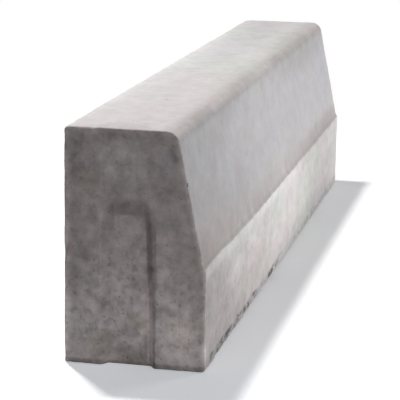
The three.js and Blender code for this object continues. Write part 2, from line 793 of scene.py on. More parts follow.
@dataclass(frozen=True)
class CastSurface:
    """How the cast surface departs from the mould's exact form, always inwards.

    Attributes:
        unevenness: The depth of the faces' slow waves.
        wave_length: The length of those waves.
        wear: How deep the arrises are worn.
        wear_reach: How far from an arris the wear reaches.
        wear_grain: The size of the wear's uneven stretches.
        pores: The air holes, which lie thickest on the ends.
        pores_on_sides: How thickly they lie on the other faces, where 1 is as on the ends.
        chips: The chips along the arrises.
        chip_reach: How far from an arris the chips start to get rarer, and where there are none.
        seed: The seed of everything random.
    """

    unevenness: float = 0.0004
    wave_length: float = 0.09
    wear: float = 0.0009
    wear_reach: float = 0.0045
    wear_grain: float = 0.012
    pores: Hollows = Hollows("pore", 0.0055, 420.0, 0.0004, 0.0014, 4.0, (1.0, 0.85, 0.8), tumbled=False)
    pores_on_sides: float = 2 / 7
    chips: Hollows = Hollows("chip", 0.016, 3600.0, 0.0009, 0.0040, 5.0, (1.0, 0.7, 0.5), tumbled=True)
    chip_reach: tuple[float, float] = (0.0008, 0.0022)
    seed: int = 11

    def weather(
        self, piece: Piece, cutters: Sequence[Piece], arris_lines: Piece, material: bpy.types.Material
    ) -> None:
        """Cuts the recesses into the body, wears its arrises, and gives it its air holes and chips.

        Args:
            piece: The body.
            cutters: What is cut out of it.
            arris_lines: The lines of the arrises that wear.
            material: The concrete.
        """
        recipe = GeometryRecipe("cast_surface")
        graph = recipe.graph
        body = recipe.entry.outputs["Geometry"]
        for i, cutter in enumerate(cutters, start=1):
            body = self._cut(graph, body, recipe.form_of(f"Recess cutter {i}", cutter))
        lines = {"Target": recipe.form_of("Arris lines", arris_lines)}
        nearest = graph.node("GeometryNodeProximity", lines, target_element="EDGES")
        distance = graph.signal(nearest, "Distance")
        body = graph.result("GeometryNodeTriangulate", {"Mesh": self._worn(recipe, body, distance)})
        seed = recipe.input("Seed", SocketKind.COUNT, self.seed)
        facing = graph.axes(graph.node("GeometryNodeInputNormal").outputs["Normal"])
        on_end = abs(facing[1]).rise(0.6, 0.9)
        thickness = recipe.number("Pores on sides", self.pores_on_sides).towards(1.0, on_end)
        pores = self.pores.balls(recipe, body, seed, thickness)
        thinning, last = self.chip_reach
        chips = self.chips.balls(recipe, body, seed, distance.rise(last, thinning))
        recipe.apply(piece, self._cut(graph, self._cut(graph, body, pores), chips), material)

    @staticmethod
    def _cut(graph: Graph, body: Socket, tool: Socket) -> Socket:
        """Cuts one closed geometry out of another."""
        meshes = {"Mesh 1": body, "Mesh 2": tool}
        return graph.result("GeometryNodeMeshBoolean", meshes, operation="DIFFERENCE", solver="MANIFOLD")

    def _worn(self, recipe: GeometryRecipe, body: Socket, distance: Signal) -> Socket:
        """Lowers the surface in slow waves, and more so along the arrises.

        Args:
            recipe: The recipe.
            body: The body's geometry.
            distance: The distance of each point from the nearest arris.

        Returns:
            The body with its waves and wear.
        """
        graph = recipe.graph
        unevenness = recipe.number("Unevenness", self.unevenness)
        wear = recipe.number("Wear depth", self.wear)
        reach = recipe.number("Wear reach", self.wear_reach)
        place = graph.result("GeometryNodeInputPosition")
        waves = graph.noise(place, self.wave_length, 1.0).rise(0.3, 0.7)
        uneven = graph.noise(place, self.wear_grain, 3.0, 0.6).rise(0.35, 0.72)
        lowered = unevenness * waves + wear * uneven * (1.0 - distance / reach).most(0.0)
        normal = graph.node("GeometryNodeInputNormal").outputs["Normal"]
        inwards = {"Vector": normal, "Scale": lowered * -1.0}
        offset = graph.result("ShaderNodeVectorMath", inwards, operation="SCALE")
        return graph.result("GeometryNodeSetPosition", {"Geometry": body, "Offset": offset})


# The finish


def linear(red: int, green: int, blue: int) -> Colour:
    """A display colour with parts from 0 to 255 as a linear one, as nodes take it."""
    parts = [part / 255 for part in (red, green, blue)]
    return (*(part / 12.92 if part <= 0.04045 else ((part + 0.055) / 1.055) ** 2.4 for part in parts), 1.0)


@dataclass(frozen=True)
class FaceTone:
    """The tone of one of the kerb's faces.

    Attributes:
        lightness: The factor on the concrete's colour, which on the ends and the base partly paints shade
            and light.
        contrast: How uneven the tone is, where 1 is what the ends have.
        coolness: From 0, the rosy grey, to 1, the bluish grey.
        near_soil_and_shade: How much darker the face gets towards the near end, partly soil and partly
            painted shade.
        far_darkening: How much darker it gets towards the far end.
    """

    lightness: float
    contrast: float
    coolness: float
    near_soil_and_shade: float
    far_darkening: float


class Blend(Enum):
    """How a colour is laid over others."""

    COVER = "MIX"
    TINT = "MULTIPLY"


@dataclass(frozen=True)
class Patch:
    """A patch whose tone differs from the concrete round it.

    Attributes:
        middle: Its middle.
        reach: How far it reaches from its middle along each axis.
        tint: The factors on the concrete's red, green and blue in its middle.
    """

    middle: Spot
    reach: Spot
    tint: Spot


@dataclass(frozen=True)
class Change:
    """A change that comes in smoothly over a distance.

    Attributes:
        fade: Where it starts and is full.
        amount: How large it is there.
    """

    fade: Fade
    amount: float

    def at(self, place: Signal) -> Signal:
        """How large the change is at a place."""
        return place.rise(*self.fade) * self.amount


@dataclass(frozen=True)
class ToneSwings:
    """How much the concrete's lightness swings with each of its noises.

    Attributes:
        slow: With the slow noise.
        clouds: With the clouds.
        blotches: With the blotches.
        mottle: With the mottle.
        rough_mottle: How much more it does so on the lower part of the ends.
        grain: With the grain.
        spots: How much darker the concrete is in small spots.
        rough_spots: How much more it is so on the lower part of the ends.
        smears: With the smears.
    """

    slow: float = 0.30
    clouds: float = 0.60
    blotches: float = 0.62
    mottle: float = 0.36
    rough_mottle: float = 0.20
    grain: float = 0.34
    spots: float = 0.20
    rough_spots: float = 0.10
    smears: float = 0.18


@dataclass(frozen=True)
class ConcreteFinish:
    """Set concrete as it comes from the mould, a little weathered and grimy, with some light and shade
    painted into its colour.

    Attributes:
        rosy: The rosy grey of the clean concrete.
        brown: The brownish grey of the ends.
        cool: The bluish grey of the skin against the mould.
        green: The greenish grey of weathered patches, also laid along the recesses' floor edge as a
            painted highlight and along their mouth's arris.
        stain: The colour of the yellowish stains low on the ends.
        dirt_and_shade: The brown of grime on the arrises, also laid as painted shade on the top arris's
            rounding and in the hollow above the step.
        recess_shade: The deep brown that paints shade in the recesses.
        dirt_and_foot_shade: The deep grey of grime and moisture at the foot, which also paints contact
            shade there.
        highlight_grey: The pale grey of the painted highlight along the step's arris.
        top: The top's tone.
        batter: The battered face's tone.
        base: The base's tone, lighter partly as painted light.
        back: The back's tone.
        ends: The ends' tone, darker partly as painted shade.
        end_fade: How far behind the ends' planes the ends' look starts and is full.
        top_fade: The same below the top.
        back_fade: The same before the back.
        batter_fade: The same for the batter, as heights over the step's abraded arris.
        ridge_bends: How that arris's height changes along the kerb.
        swings: How uneven the tone is.
        patches: Patches that differ from the rest.
        ragged: How far the patches' edges are moved to and fro.
        ragged_grain: How long the stretches are that are moved alike.
        roughness: The roughness of the faces that the mould made.
        end_roughness: The roughness of the ends.
        grain_depth: How deep the sand's grain is.
        mottle_depth: How uneven the ends are.
        smear_depth: How uneven the faces are that the mould made.
        pinhole_depth: How deep the pinholes are.
        pinhole_shade: How much they darken the concrete.
        pinhole_cells: How many cells there are to a metre, each with one pinhole at most.
        pinholes_on_sides: How deep they are off the ends, where 1 is as on the ends.
        back_highlight: How much paler the ends are painted along their arris at the back, as a highlight.
        top_highlight: The same along their top arris.
        front_highlight: The same along their front arris.
        rear_rub: How much paler the top is rubbed along its rear arris.
        highlight_band: The painted highlight along the step's arris, as heights over it.
        hollow_band: The painted shade, with some grime, in the hollow above that arris.
        seam_band: The darker seam of that painted shade.
        clump_band: The clumps of grime along the foot, as heights.
        clump_cells: How many clumps there are to a metre of height.
        slope_light_band: The painted light on the recesses' front slope, as distances from their middle.
        corner_band: The painted shade in their front corner, as distances from their floor's edge.
    """

    rosy: Colour = linear(206, 199, 199)
    brown: Colour = linear(209, 199, 199)
    cool: Colour = linear(197, 197, 200)
    green: Colour = linear(200, 200, 196)
    stain: Colour = linear(168, 162, 138)
    dirt_and_shade: Colour = linear(134, 124, 120)
    recess_shade: Colour = linear(96, 86, 80)
    dirt_and_foot_shade: Colour = linear(70, 72, 68)
    highlight_grey: Colour = linear(230, 230, 229)
    # The ends' low lightness is partly painted shade, and the base's high lightness partly painted light.
    top: FaceTone = FaceTone(1.06, 0.20, 0.10, 0.0, 0.08)
    batter: FaceTone = FaceTone(1.125, 0.15, 0.70, 0.22, 0.12)
    base: FaceTone = FaceTone(1.38, 0.24, 0.05, 0.36, 0.16)
    back: FaceTone = FaceTone(1.00, 0.45, 0.35, 0.08, 0.08)
    ends: FaceTone = FaceTone(0.72, 0.88, 0.0, 0.0, 0.0)
    end_fade: Fade = (0.0032, 0.0018)
    top_fade: Fade = (0.012, 0.002)
    back_fade: Fade = (0.002, 0.0005)
    batter_fade: Fade = (-0.0005, 0.003)
    ridge_bends: tuple[Change, ...] = (
        Change((-0.34, -0.42), 0.0026),
        Change((-0.47, -0.50), -0.0008),
        Change((-0.30, -0.24), -0.0012),
    )
    swings: ToneSwings = ToneSwings()
    patches: tuple[Patch, ...] = (
        # The near end.
        Patch((0.044, -0.5, 0.034), (0.042, 0.05, 0.042), (1.42, 1.42, 1.42)),
        Patch((-0.014, -0.5, 0.214), (0.040, 0.05, 0.032), (1.24, 1.29, 1.31)),
        Patch((0.068, -0.5, 0.070), (0.018, 0.05, 0.042), (0.88, 0.87, 0.87)),
        Patch((0.010, -0.5, 0.062), (0.014, 0.05, 0.050), (1.10, 1.10, 1.10)),
        Patch((-0.062, -0.5, 0.100), (0.018, 0.05, 0.070), (0.84, 0.83, 0.84)),
        Patch((-0.006, -0.5, 0.008), (0.026, 0.05, 0.022), (0.64, 0.63, 0.60)),
        Patch((0.008, -0.5, 0.034), (0.013, 0.05, 0.016), (1.16, 1.16, 1.15)),
        Patch((0.036, -0.5, 0.056), (0.020, 0.05, 0.018), (0.86, 0.86, 0.86)),
        Patch((-0.032, -0.5, 0.200), (0.016, 0.05, 0.052), (1.12, 1.12, 1.12)),
        Patch((0.026, -0.5, 0.210), (0.015, 0.05, 0.034), (1.14, 1.14, 1.14)),
        Patch((0.054, -0.5, 0.118), (0.026, 0.05, 0.030), (0.92, 0.92, 0.93)),
        Patch((-0.036, -0.5, 0.024), (0.016, 0.05, 0.016), (0.88, 0.90, 0.82)),
        Patch((0.003, -0.5, 0.046), (0.013, 0.05, 0.015), (0.86, 0.87, 0.80)),
        Patch((-0.014, -0.5, 0.249), (0.060, 0.05, 0.014), (0.88, 0.87, 0.87)),
        Patch((-0.056, -0.5, 0.196), (0.030, 0.05, 0.022), (0.84, 0.82, 0.80)),
        Patch((0.031, -0.5, 0.219), (0.020, 0.05, 0.022), (0.88, 0.90, 0.92)),
        # The base.
        Patch((0.075, -0.29, 0.080), (0.02, 0.16, 0.060), (1.29, 1.34, 1.32)),
        Patch((0.075, -0.06, 0.085), (0.02, 0.22, 0.060), (1.085, 1.105, 1.10)),
        Patch((0.075, 0.33, 0.045), (0.02, 0.24, 0.085), (0.79, 0.785, 0.79)),
        Patch((0.075, 0.20, 0.012), (0.02, 0.40, 0.034), (0.78, 0.78, 0.78)),
        Patch((0.075, 0.24, 0.098), (0.02, 0.16, 0.018), (0.90, 0.90, 0.90)),
        Patch((0.075, -0.26, 0.035), (0.02, 0.30, 0.060), (1.02, 0.965, 0.98)),
        # The batter.
        Patch((0.052, 0.32, 0.236), (0.05, 0.42, 0.042), (0.81, 0.81, 0.795)),
        Patch((0.060, 0.30, 0.180), (0.06, 0.46, 0.130), (0.92, 0.915, 0.935)),
        Patch((0.058, -0.20, 0.200), (0.03, 0.13, 0.050), (1.08, 1.08, 1.08)),
        Patch((0.070, -0.50, 0.116), (0.03, 0.10, 0.036), (0.88, 0.86, 0.85)),
        # Painted shade in the hollow at the batter's foot, towards the far end.
        Patch((0.075, 0.34, 0.115), (0.03, 0.34, 0.018), (0.84, 0.83, 0.83)),
        Patch((0.070, -0.42, 0.140), (0.03, 0.18, 0.060), (1.00, 0.965, 0.955)),
        # The top.
        Patch((-0.075, 0.0, 0.250), (0.055, 0.9, 0.02), (1.09, 1.10, 1.10)),
        Patch((0.045, 0.05, 0.250), (0.055, 0.6, 0.02), (0.93, 0.92, 0.92)),
        Patch((-0.060, -0.10, 0.250), (0.060, 0.40, 0.02), (0.97, 1.00, 0.99)),
        Patch((-0.030, 0.26, 0.250), (0.045, 0.44, 0.02), (0.93, 0.93, 0.955)),
    )
    ragged: float = 0.024
    ragged_grain: float = 1 / 45
    roughness: float = 0.80
    end_roughness: float = 0.93
    grain_depth: float = 0.00030
    mottle_depth: float = 0.0006
    smear_depth: float = 0.0002
    pinhole_depth: float = 0.0006
    pinhole_shade: float = 0.22
    pinhole_cells: float = 210.0
    pinholes_on_sides: float = 0.4
    back_highlight: Change = Change((0.0100, 0.0010), 0.48)
    top_highlight: Change = Change((0.0090, 0.0020), 0.30)
    front_highlight: Change = Change((0.0060, 0.0015), 0.30)
    rear_rub: Change = Change((0.016, 0.002), 0.08)
    highlight_band: Band = (-0.014, -0.003, 0.001, 0.003)
    hollow_band: Band = (0.0, 0.002, 0.006, 0.034)
    seam_band: Band = (0.0005, 0.002, 0.004, 0.008)
    clump_band: Band = (0.0022, 0.0052, 0.0100, 0.0145)
    clump_cells: float = 115.0
    slope_light_band: Band = (0.0170, 0.0200, 0.0240, 0.0275)
    corner_band: Band = (-0.0025, 0.0010, 0.0040, 0.0085)

    def material(self, kerb: KerbStone) -> bpy.types.Material:
        """Makes the concrete for a kerb.

        Args:
            kerb: The kerb.

        Returns:
            The material.
        """
        material = bpy.data.materials.new("cast_concrete")
        graph = Graph.emptied(material)
        paint = ConcretePaint(self, graph, kerb)
        paint.lay_all()
        pinholes = paint.pinholes()
        paint.lay(1.0, paint.lightness() * (1.0 - pinholes * self.pinhole_shade), Blend.TINT)
        height = paint.grain.swing(self.grain_depth) + paint.mottle.swing(self.mottle_depth) * paint.on_end
        height = height + paint.smears.swing(self.smear_depth) * paint.off_end
        height = height - pinholes * self.pinhole_depth
        roughness = (self.roughness + paint.mottle.swing(0.16)).towards(self.end_roughness, paint.on_end)
        inputs = {
            "Base Color": paint.colour,
            "Roughness": roughness.least(1.0),
            "Specular IOR Level": 0.35,
            "Normal": graph.result("ShaderNodeBump", {"Distance": 1.0, "Strength": 1.0, "Height": height}),
        }
        shader = graph.result("ShaderNodeBsdfPrincipled", inputs)
        graph.node("ShaderNodeOutputMaterial", {"Surface": shader})
        return material


class ConcretePaint:
    """Puts a concrete finish on a kerb, in layers of colour that masks and noises place, some of which
    paint light and shade.

    Attributes:
        finish: The finish.
        graph: The material's graph.
        section: The kerb's section.
        recess: Its recesses.
        half_length: Half of its length.
        half_mouth: Half the width of the recesses' mouth.
        whole: A point's place.
        x: Its place across the kerb.
        y: Its place along the kerb.
        z: Its height.
        into_end: How far it is behind the end's plane.
        from_middle: Its distance across from the recesses' middle.
        half_floor: Half the width of the recesses' floor at its height.
        on_end: 1 on the ends and in their recesses.
        off_end: 1 on all other faces.
        on_top: 1 on the top.
        on_back: 1 on the back.
        over_step: The height over the step's abraded arris.
        on_batter: 1 above the step, but for the back.
        on_ridge: 1 on the step's outer arris.
        calm: 1 on the upper part of the ends, whose tone is calmer than lower down.
        slow: A noise with patches as long as the kerb is high.
        clouds: One with patches as wide as a hand.
        blotches: One with patches as wide as a finger.
        mottle: One with spots of a few millimetres.
        grain: One as fine as sand.
        smears: One with upright smears.
        hue: One for patches of another hue.
        colour: The layers of colour so far.
    """

    def __init__(self, finish: ConcreteFinish, graph: Graph, kerb: KerbStone) -> None:
        """Starts with the masks and the noises.

        Args:
            finish: The finish.
            graph: The material's graph.
            kerb: The kerb.
        """
        self.finish, self.graph = finish, graph
        self.section, self.recess, self.half_length = kerb.section, kerb.recess, kerb.length / 2
        self.half_mouth = self.recess.mouth_width / 2
        self.colour: Socket | Colour = finish.rosy
        self.whole = graph.node("ShaderNodeTexCoord").outputs["Object"]
        self.x, self.y, self.z = graph.axes(self.whole)
        self._find_recess()
        self._find_faces()
        self.slow = self._noise(0.17, shift=0.4)
        self.clouds = self._noise(0.055, 3.0, 0.55)
        self.blotches = self._noise(0.020, 3.0, 0.6, shift=3.7)
        self.mottle = self._noise(0.0085, shift=8.1)
        self.grain = graph.noise(self.whole, 0.0022, 2.0, 0.6)
        self.smears = self._noise(1.0, shift=1.3, stretch=(36.0, 36.0, 8.0))
        self.hue = self._noise(0.085, shift=5.9)

    def _noise(
        self,
        grain: float,
        detail: float = 2.0,
        roughness: float = 0.5,
        shift: float = 0.0,
        stretch: Spot = (1.0, 0.6, 1.0),
    ) -> Signal:
        """A noise as the graph makes it, with its place stretched and shifted to another part of it."""
        place = self.graph.spread(self.whole, stretch, (shift,) * 3)
        return self.graph.noise(place, grain, detail, roughness)

    def _find_recess(self) -> None:
        """Finds where a point is from the ends' planes and across the recesses."""
        recess = self.recess
        self.into_end = self.half_length - abs(self.y)
        self.from_middle = self.x - recess.middle
        inward = (recess.floor_foot_width - recess.floor_width) / 2 / recess.floor_height
        self.half_floor = recess.floor_foot_width / 2 - self.z * inward

    def _find_faces(self) -> None:
        """Finds which face a point is on."""
        section, recess, finish = self.section, self.recess, self.finish
        margin = 0.003
        in_recess = abs(self.from_middle).rise(self.half_mouth + margin, self.half_mouth)
        in_recess = in_recess * self.z.rise(recess.mouth_height + margin, recess.mouth_height)
        in_recess = in_recess * self.into_end.rise(recess.depth + margin, recess.depth + 0.001)
        self.on_end = self.into_end.rise(*finish.end_fade).most(in_recess)
        self.off_end = 1.0 - self.on_end
        self.on_top = (section.height - self.z).rise(*finish.top_fade)
        self.on_back = (self.x - section.back).rise(*finish.back_fade)
        self.over_step = self.z - section.base_face_height
        for bend in finish.ridge_bends:
            self.over_step = self.over_step - bend.at(self.y)
        self.on_batter = self.over_step.rise(*finish.batter_fade) * (1.0 - self.on_back)
        on_ridge = self.over_step.band(*finish.highlight_band) * self.off_end
        self.on_ridge = on_ridge * self.x.rise(section.front - 0.004, section.front - 0.002)
        self.calm = self.on_end * self.z.rise(0.07, 0.16)

    def _by_face(self, what: str) -> Signal:
        """One part of the faces' tones over the whole kerb.

        Args:
            what: The part's name.

        Returns:
            The part, as it is on the face where a point lies.
        """
        tones = self.finish
        base, batter, top, back, ends = (
            getattr(tone, what) for tone in (tones.base, tones.batter, tones.top, tones.back, tones.ends)
        )
        front = self.on_batter * (batter - base) + base
        return front.towards(top, self.on_top).towards(back, self.on_back).towards(ends, self.on_end)

    def pinholes(self) -> Signal:
        """Spreads pinholes, which are too small for the mesh.

        Returns:
            1 in the middle of the deepest ones, and 0 where there are none.
        """
        scale, on_sides = self.finish.pinhole_cells, self.finish.pinholes_on_sides
        cells = self.graph.node("ShaderNodeTexVoronoi", {"Vector": self.whole, "Scale": scale})
        chance = self.graph.axes(cells.outputs["Color"])[0]
        rare = chance.rise(0.60, 0.95) * ((self.on_end - self.calm * 0.6) * (1.0 - on_sides) + on_sides)
        return self.graph.signal(cells, "Distance").rise(0.34, 0.10) * rare

    def lightness(self) -> Signal:
        """Makes the concrete uneven and darker towards the ends, partly as painted shade at the near end,
        and paints light low on the ends, light and shade in the recesses, and highlights along the ends'
        arrises.

        Returns:
            The factor on the colour.
        """
        swings = self.finish.swings
        uneven = self.slow.swing(swings.slow) + self.clouds.swing(swings.clouds)
        uneven = uneven + self.blotches.rise(0.25, 0.75).swing(swings.blotches)
        rough = self.on_end - self.calm
        fine = self.mottle.rise(0.25, 0.75).swing(rough * swings.rough_mottle + swings.mottle)
        spots = self._noise(0.0075, 1.0, shift=6.6).rise(0.58, 0.68)
        fine = fine + self.grain.swing(swings.grain) - spots * (rough * swings.rough_spots + swings.spots)
        uneven = uneven * (1.0 - self.calm * 0.22) + fine * (1.0 - self.calm * 0.38)
        smeared = self.clouds.rise(0.45, 0.60) * self.off_end * (1.0 - self.on_top)
        uneven = uneven * self._by_face("contrast") + self.smears.swing(swings.smears) * smeared
        ragged = self.y + self.slow.swing(0.3) + self.clouds.swing(0.2)
        # Darker towards the near end, partly soil and partly painted shade, and less so on the step's
        # painted highlight.
        near = ragged.rise(0.0, -self.half_length) * (1.0 - self.on_ridge * 0.30)
        far = ragged.rise(0.10, self.half_length) * self._by_face("far_darkening")
        # Painted light: the ends lighter towards the bottom, standing in for light from the floor.
        low = self.z.rise(0.22, 0.0) * self.on_end * 0.66
        toned = uneven + 1.0 - near * self._by_face("near_soil_and_shade") - far + low
        # Painted light and shade in the recesses, and painted highlights along the ends' arrises.
        painted_light = (self._recess_light_and_shade() + 1.0) * (self._paler_arrises() + 1.0)
        return toned * painted_light * self._by_face("lightness")

    def _recess_light_and_shade(self) -> Signal:
        """Paints light and shade in the recesses: a paler floor, a darker back slope and a paler foot of
        the front slope.

        Returns:
            How much paler or darker they are painted.
        """
        depth = self.recess.depth
        on_floor = (abs(self.from_middle) - self.half_floor).rise(0.001, -0.001)
        on_floor = on_floor * self.into_end.rise(depth - 0.003, depth - 0.001)
        back_slope = (0.0 - self.from_middle - self.half_floor).rise(-0.0004, 0.0006)
        back_slope = back_slope * self.into_end.rise(0.0, 0.0014)
        lit_slope = self.from_middle.band(*self.finish.slope_light_band) * self.z.rise(0.104, 0.090)
        lit_slope = lit_slope * (self.z.rise(0.045, 0.020) * 0.25 + 0.35)
        return (on_floor * 0.04 - back_slope * 0.19 + lit_slope) * self.on_end

    def _paler_arrises(self) -> Signal:
        """Paints highlights along the arrises of the ends, and makes the top paler along its rear arris.

        Returns:
            How much paler it gets.
        """
        finish, section = self.finish, self.section
        from_back = self.x - section.back
        rim = finish.back_highlight.at(from_back).most(finish.top_highlight.at(section.height - self.z))
        rim = rim.most(finish.front_highlight.at(section.front_at(self.z) - self.x))
        return rim * self.on_end + finish.rear_rub.at(from_back) * self.on_top * self.off_end

    def lay(self, share: Operand, coat: Signal | Colour, blend: Blend = Blend.COVER) -> None:
        """Lays another colour over the layers so far.

        Args:
            share: How much of it there is.
            coat: The colour.
            blend: How it is laid.
        """
        inputs = {"Factor_Float": share, "A_Color": self.colour, "B_Color": coat}
        settings = {"data_type": "RGBA", "blend_type": blend.value, "clamp_factor": True}
        self.colour = self.graph.result("ShaderNodeMix", inputs, **settings)

    def lay_all(self) -> None:
        """Lays the concrete's hues, its stains, its patches, and its grime, with painted light and shade
        among them.
        """
        finish, step = self.finish, self.section.base_face_height
        near_step = self.z.rise(step + 0.050, step + 0.004) * self.on_batter
        coolness = self._by_face("coolness") + self.clouds.swing(0.8) - near_step * 0.7
        self.lay(coolness.most(0.0).least(1.0), finish.cool)
        self.lay(self.on_end * self.hue.rise(0.68, 0.52), finish.brown)
        greenish = (self.hue - abs(self.y - 0.20) * 0.30).rise(0.36, 0.56) * self.off_end
        self.lay(greenish * (0.9 - self.on_batter * (1.0 - self.on_top) * 0.6), finish.green)
        low = self.z.rise(0.12, 0.01) * self.x.rise(-0.060, -0.035) * self.on_end
        self.lay(low * self.clouds.rise(0.50, 0.70) * 0.25, finish.stain)
        self._lay_patches()
        self._lay_dirt_and_light_along_arrises()
        self._lay_light_and_shade_in_recess()
        self._lay_dirt_and_shade_at_foot()

    def _lay_patches(self) -> None:
        """Lays the patches, with ragged edges."""
        graph, ragged = self.graph, self.finish.ragged
        scale = 1.0 / self.finish.ragged_grain
        inputs = {"Vector": self.whole, "Scale": scale, "Detail": 3.0, "Roughness": 0.6}
        wobble = graph.node("ShaderNodeTexNoise", inputs).outputs["Color"]
        place = graph.spread(wobble, (ragged,) * 3, self.whole)
        for patch in self.finish.patches:
            shares = [1.0 / reach for reach in patch.reach]
            shift = [-(middle + ragged / 2) * share for middle, share in zip(patch.middle, shares)]
            away = graph.length(graph.spread(place, shares, shift))
            self.lay(away.rise(1.0, 0.2), (*patch.tint, 1.0), Blend.TINT)

    def _lay_dirt_and_light_along_arrises(self) -> None:
        """Lays grime and painted shade on the top arris's rounding, a painted highlight along the step's
        arris, and painted shade with some grime in the hollow above the step.
        """
        finish, section, over = self.finish, self.section, self.over_step
        # Grime and painted shade on the rounding between the top and the batter.
        across = self.x - (section.back + section.top_width) + (section.height - self.z)
        across = across + self.blotches.swing(0.012)
        inner = across - self.y.rise(-0.10, 0.20) * 0.006
        rounding = inner.rise(-0.022, -0.001) * across.rise(0.022, 0.004) * self.on_batter * self.off_end
        self.lay(rounding * (0.40 + self.clouds.swing(0.8)), finish.dirt_and_shade)
        # Painted highlight along the step's outer arris, strongest in the near half.
        painted_light = self.y.rise(0.20, -0.12) * 0.70 - self.y.rise(-0.38, -0.48) * 0.35
        self.lay(self.on_ridge * painted_light, finish.highlight_grey)
        # Painted shade, with some grime, in the hollow at the batter's foot above the step.
        hollow = over.band(*finish.hollow_band) * (self.smears.rise(0.35, 0.7) * 0.18 + 0.13)
        hollow = hollow + over.band(*finish.seam_band) * 0.14
        on_front = self.x.rise(section.front - 0.020, section.front - 0.014) * self.off_end
        self.lay(hollow * on_front, finish.dirt_and_shade)

    def _lay_light_and_shade_in_recess(self) -> None:
        """Paints shade in the recesses' front corner and on their upper slope, a highlight along their
        floor's top edge, and a paler line along the mouth's front arris that is partly wear and partly
        painted highlight.
        """
        finish, recess, x, z = self.finish, self.recess, self.from_middle, self.z
        floor_top, mouth_top, side = recess.floor_height, recess.mouth_height, self.half_mouth
        # Painted shade in the front corner, along the recess's wall.
        past_floor = x - self.half_floor - z.rise(0.11, 0.0) * 0.0035
        corner = past_floor.band(*finish.corner_band) * self.on_end
        corner = corner * z.rise(floor_top + 0.012, floor_top - 0.004)
        self.lay(corner * z.rise(0.02, 0.10) * 0.40, finish.recess_shade)
        # Painted shade on the upper slope, which faces down.
        slope = z.band(floor_top, floor_top + 0.006, mouth_top - 0.004, mouth_top + 0.006)
        slope = slope * x.band(-side, 0.014 - side, side - 0.014, side - 0.004) * self.on_end
        self.lay(slope * self.blotches.rise(0.2, 0.7) * 0.5, finish.recess_shade)
        # Painted highlight along the top edge of the recess's floor.
        edge = z.band(floor_top - 0.0035, floor_top - 0.0015, floor_top, floor_top + 0.001) * self.on_end
        self.lay(edge * x.rise(-0.014, 0.0) * self.mottle.rise(0.4, 0.6) * 0.45, finish.green)
        # A paler line along the mouth's front arris, partly wear and partly painted highlight.
        rim = abs(x - side).rise(0.0022, 0.0006) * z.band(0.025, 0.045, 0.105, 0.125) * self.on_end
        self.lay(rim * self.blotches.rise(0.3, 0.6) * 0.35, finish.green)

    def _lay_dirt_and_shade_at_foot(self) -> None:
        """Lays the row of grime clumps along the base's foot, a darkening round it that is partly grime
        and moisture and partly painted contact shade, and a line at the floor that is painted contact
        shade with some grime, wider beside the recesses' mouth.
        """
        finish, y, z = self.finish, self.y, self.z
        place = self.graph.spread(self.whole, (0.0, 0.50, 1.0), (2.2,) * 3)
        cells = self.graph.value("ShaderNodeTexVoronoi", {"Vector": place, "Scale": finish.clump_cells})
        clumps = cells.rise(0.76, 0.54) * (self.mottle.rise(0.40, 0.54) * 0.58 + 0.38)
        row = (z + self.blotches.swing(0.008)).band(*finish.clump_band)
        row = row * y.rise(0.02, -0.10).most(y.rise(0.02, 0.10) * 0.45)
        row = row * y.rise(-0.490, -0.465) * self.x.rise(0.0, 0.03) * clumps.most(0.24)
        # Darker near the foot: partly grime and moisture, partly painted contact shade.
        dirt_and_foot_shade = z.rise(0.020, 0.002) * (y.rise(-0.2, 0.1) * 0.14 + 0.08)
        beside = abs(self.from_middle).rise(self.half_mouth - 0.006, self.half_mouth) * self.on_end
        # Painted contact shade with some grime along the floor, taller beside the recesses' mouth, where
        # it stands in for the shade under the recess.
        line = z.rise(0.0045, 0.0008) * (self.on_end * 0.07 + 0.38)
        line = line.most(z.rise(0.0075, 0.0040) * beside * 0.38)
        self.lay((row.most(dirt_and_foot_shade) * self.off_end).most(line), finish.dirt_and_foot_shade)


# The kerb


